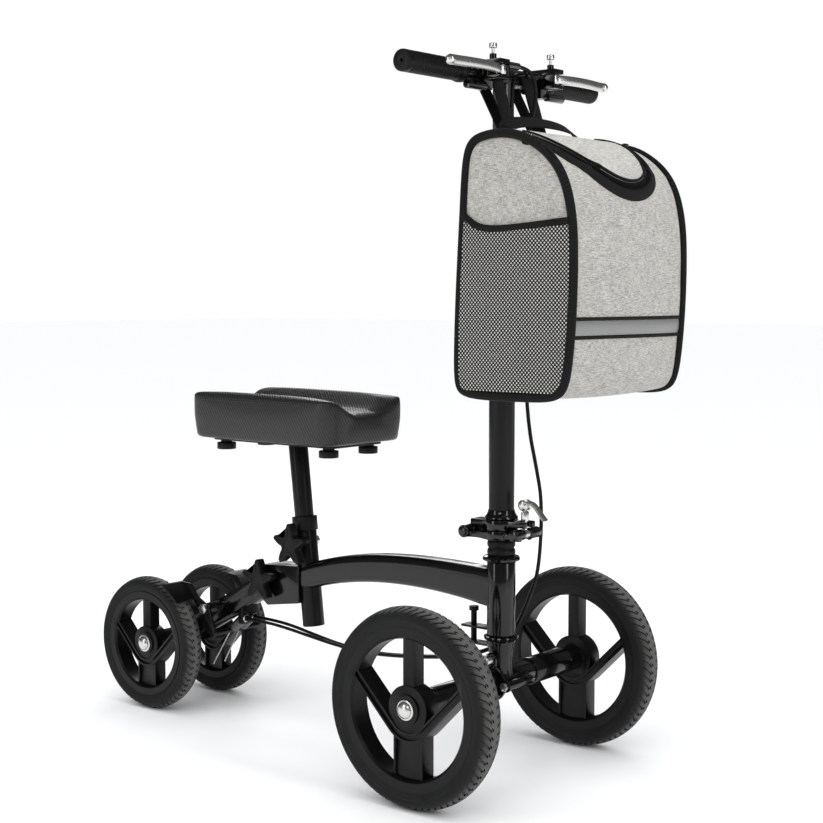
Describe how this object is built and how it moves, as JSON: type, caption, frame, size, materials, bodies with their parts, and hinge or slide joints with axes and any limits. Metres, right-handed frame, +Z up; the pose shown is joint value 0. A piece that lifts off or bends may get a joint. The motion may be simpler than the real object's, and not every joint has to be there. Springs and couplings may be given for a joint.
{
  "type": "knee scooter",
  "caption": "Four-wheeled knee scooter with a padded rest on a raked post, an arched frame, a folding steering column, rear brakes and a carry bag.",
  "frame": {"origin": "on the floor, under the middle of the whole scooter's box", "axes": "+X forward, the way the scooter rolls; +Y to the rider's left; +Z up"},
  "size_m": [0.912, 0.412, 0.95],
  "materials": {
    "gloss_black_frame": "gloss",
    "satin_black_frame": "satin",
    "black_casting": "gloss",
    "bright_steel": "polished",
    "steel": "satin",
    "matte_black_plastic": "matte",
    "rim_plastic": "satin",
    "tyre_rubber": "matte",
    "grip_rubber": "matte",
    "black_leather": "satin",
    "grey_fabric": "matte",
    "black_webbing": "matte",
    "cable_black": "satin"
  },
  "bodies": {
    "frame": {"main_beam": "gloss_black_frame", "head_tube": "gloss_black_frame", "headset_cups": "black_casting", "steering_stop_plate": "satin_black_frame", "seat_tube": "satin_black_frame", "seat_collar": "matte_black_plastic", "rear_bracket": "gloss_black_frame", "rear_frame": "gloss_black_frame", "frame_bolts": "bright_steel", "cable_anchor": "bright_steel", "brake_springs": "steel", "brake_cables_rear": "cable_black", "rear_wheel_bolts": "bright_steel", "rear_wheel_bearings": "steel"},
    "steering_lock": {"steering_lock_pin": "satin_black_frame"},
    "seat_knob": {"star_knob_seat": "matte_black_plastic"},
    "neck_knob": {"star_knob_neck": "matte_black_plastic"},
    "knee_rest": {"seat_post": "satin_black_frame", "seat_plate": "satin_black_frame", "pad_knobs": "matte_black_plastic", "knee_pad": "black_leather"},
    "fork": {"fork_stem": "gloss_black_frame", "front_axle": "gloss_black_frame", "axle_flange": "black_casting", "axle_bolts": "bright_steel", "rubber_spacer": "grip_rubber", "fold_base": "black_casting", "fold_pin": "bright_steel", "front_wheel_bolts": "bright_steel", "front_wheel_bearings": "steel"},
    "axle_cam": {"axle_cam_lever": "bright_steel"},
    "latch": {"latch_bolt": "bright_steel"},
    "latch_cam": {"latch_lever": "bright_steel"},
    "column": {"fold_head": "black_casting", "column_tube": "satin_black_frame", "height_clamp": "black_casting", "brake_cables_middle": "cable_black"},
    "clamp_lever": {"height_lever": "black_casting"},
    "handlebar": {"handlebar": "gloss_black_frame", "grip_right": "grip_rubber", "grip_left": "grip_rubber", "lever_body_right": "black_casting", "lever_body_left": "black_casting", "bag": "grey_fabric", "bag_straps": "black_webbing", "brake_cables_upper": "cable_black"},
    "brake_lever_right": {"brake_blade_right": "bright_steel"},
    "brake_lever_left": {"brake_blade_left": "bright_steel"},
    "park_pin_right": {"parking_pin_right": "bright_steel"},
    "park_pin_left": {"parking_pin_left": "bright_steel"},
    "brake_arm_right": {"brake_arm_right": "satin_black_frame"},
    "brake_arm_left": {"brake_arm_left": "satin_black_frame"},
    "wheel_front_right": {"tyre_front_right": "tyre_rubber", "rim_front_right": "rim_plastic"},
    "wheel_front_left": {"tyre_front_left": "tyre_rubber", "rim_front_left": "rim_plastic"},
    "wheel_rear_right": {"tyre_rear_right": "tyre_rubber", "rim_rear_right": "rim_plastic"},
    "wheel_rear_left": {"tyre_rear_left": "tyre_rubber", "rim_rear_left": "rim_plastic"}
  },
  "joints": [
    {"name": "steering", "type": "hinge", "parent": "frame", "child": "fork", "pos_m": [0.264, 0, 0.25], "axis": [0, 0, 1], "range_deg": [-38, 38], "deforming": ["brake_cables_rear"]},
    {"name": "steering_lock", "type": "slide", "parent": "frame", "child": "steering_lock", "axis": [0, 0, 1], "range_m": [-0.006, 0]},
    {"name": "seat_knob_turn", "type": "hinge", "parent": "frame", "child": "seat_knob", "pos_m": [-0.08938, -0.04, 0.277], "axis": [0, 1, 0], "range_deg": [-180, 0]},
    {"name": "neck_knob_turn", "type": "hinge", "parent": "frame", "child": "neck_knob", "pos_m": [-0.154, -0.04, 0.218], "axis": [0, 1, 0], "range_deg": [-180, 0]},
    {"name": "seat_height", "type": "slide", "parent": "frame", "child": "knee_rest", "axis": [-0.1132, 0, 0.9936], "range_m": [-0.06, 0.04]},
    {"name": "axle_cam_turn", "type": "hinge", "parent": "fork", "child": "axle_cam", "pos_m": [0.264, -0.03, 0.158], "axis": [0, 1, 0], "range_deg": [0, 120]},
    {"name": "column_fold", "type": "hinge", "parent": "fork", "child": "column", "pos_m": [0.221, 0, 0.325], "axis": [0, 1, 0], "range_deg": [-48, 0], "deforming": ["brake_cables_middle"]},
    {"name": "latch_swing", "type": "hinge", "parent": "fork", "child": "latch", "pos_m": [0.302, 0, 0.326], "axis": [0, 1, 0], "range_deg": [0, 72]},
    {"name": "latch_lever_open", "type": "hinge", "parent": "latch", "child": "latch_cam", "pos_m": [0.302, 0, 0.364], "axis": [0, 1, 0], "range_deg": [-90, 0]},
    {"name": "clamp_lever_open", "type": "hinge", "parent": "column", "child": "clamp_lever", "pos_m": [0.236, -0.014, 0.708], "axis": [0, 0, 1], "range_deg": [-90, 0]},
    {"name": "bar_height", "type": "slide", "parent": "column", "child": "handlebar", "axis": [0, 0, 1], "range_m": [-0.06, 0.06], "deforming": ["brake_cables_upper"]},
    {"name": "brake_squeeze_right", "type": "hinge", "parent": "handlebar", "child": "brake_lever_right", "pos_m": [0.302, -0.058, 0.917], "axis": [0, 0, 1], "range_deg": [-11, 0], "stiffness_Nm_per_rad": 1.5},
    {"name": "brake_squeeze_left", "type": "hinge", "parent": "handlebar", "child": "brake_lever_left", "pos_m": [0.302, 0.058, 0.917], "axis": [0, 0, 1], "range_deg": [0, 11], "stiffness_Nm_per_rad": 1.5},
    {"name": "park_press_right", "type": "slide", "parent": "handlebar", "child": "park_pin_right", "axis": [0, 0, 1], "range_m": [-0.004, 0], "stiffness_N_per_m": 300},
    {"name": "park_press_left", "type": "slide", "parent": "handlebar", "child": "park_pin_left", "axis": [0, 0, 1], "range_m": [-0.004, 0], "stiffness_N_per_m": 300},
    {"name": "brake_arm_swing_right", "type": "hinge", "parent": "frame", "child": "brake_arm_right", "pos_m": [-0.256, -0.0475, 0.163], "axis": [0, 1, 0], "range_deg": [-2, 0]},
    {"name": "brake_arm_swing_left", "type": "hinge", "parent": "frame", "child": "brake_arm_left", "pos_m": [-0.256, 0.0475, 0.163], "axis": [0, 1, 0], "range_deg": [-2, 0]},
    {"name": "wheel_spin_front_right", "type": "hinge", "parent": "fork", "child": "wheel_front_right", "pos_m": [0.264, -0.1825, 0.127], "axis": [0, 1, 0], "continuous": true},
    {"name": "wheel_spin_front_left", "type": "hinge", "parent": "fork", "child": "wheel_front_left", "pos_m": [0.264, 0.1825, 0.127], "axis": [0, 1, 0], "continuous": true},
    {"name": "wheel_spin_rear_right", "type": "hinge", "parent": "frame", "child": "wheel_rear_right", "pos_m": [-0.354, -0.07, 0.102], "axis": [0, 1, 0], "continuous": true},
    {"name": "wheel_spin_rear_left", "type": "hinge", "parent": "frame", "child": "wheel_rear_left", "pos_m": [-0.354, 0.07, 0.102], "axis": [0, 1, 0], "continuous": true}
  ],
  "couplings": [
    {"joint": "latch_swing", "follows": "column_fold", "ratio": -1.5},
    {"joint": "brake_arm_swing_right", "follows": "brake_squeeze_right", "ratio": 0.18182},
    {"joint": "brake_arm_swing_left", "follows": "brake_squeeze_left", "ratio": -0.18182}
  ]
}
